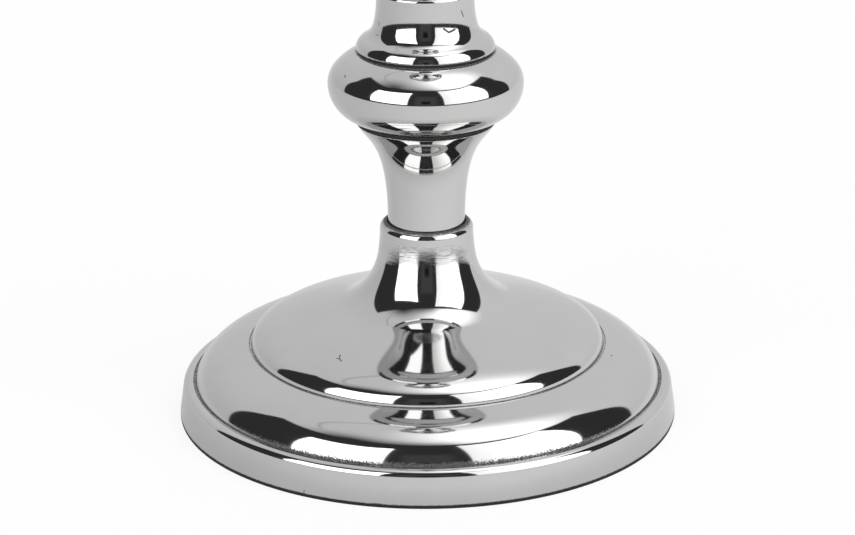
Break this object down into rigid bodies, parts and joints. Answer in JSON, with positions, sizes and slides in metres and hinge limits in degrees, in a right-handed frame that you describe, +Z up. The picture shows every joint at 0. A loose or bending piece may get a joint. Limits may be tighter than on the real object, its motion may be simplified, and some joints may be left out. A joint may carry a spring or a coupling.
{
  "type": "candlestick",
  "caption": "Polished metal candlestick: domed round foot, turned column with a rounded knop and bell, and a candle cup with a lift-out nozzle and drip pan.",
  "frame": {"origin": "centre of the felt pad's underside, on the surface that the candlestick stands on", "axes": "+Z up along the column, -Y towards the viewer of the picture, +X to the viewer's right"},
  "size_m": [0.12, 0.12, 0.2255],
  "materials": {
    "polished_metal": "mirror-polished casting with nickel plate",
    "zinc_steel": "dull zinc plate",
    "black_fibre": "matte vulcanised fibre",
    "felt": "black felt"
  },
  "bodies": {
    "holder": {"felt_pad": "felt", "foot": "polished_metal", "foot_washer": "zinc_steel", "foot_lock_washer": "zinc_steel", "foot_nut": "zinc_steel", "tie_rod": "zinc_steel", "lower_stem": "polished_metal", "stem_seat_ring": "black_fibre", "knop": "polished_metal", "knop_seat_ring": "black_fibre", "skirt": "polished_metal", "upper_stem": "polished_metal", "upper_stem_seat_ring": "black_fibre", "upper_knop": "polished_metal", "upper_knop_seat_ring": "black_fibre", "candle_cup": "polished_metal", "cup_washer": "zinc_steel", "cup_nut": "zinc_steel"},
    "nozzle": {"drip_pan": "polished_metal", "nozzle_sleeve": "polished_metal"}
  },
  "joints": [
    {"name": "nozzle_lift", "type": "slide", "parent": "holder", "child": "nozzle", "axis": [0, 0, 1], "range_m": [0, 0.045]}
  ]
}
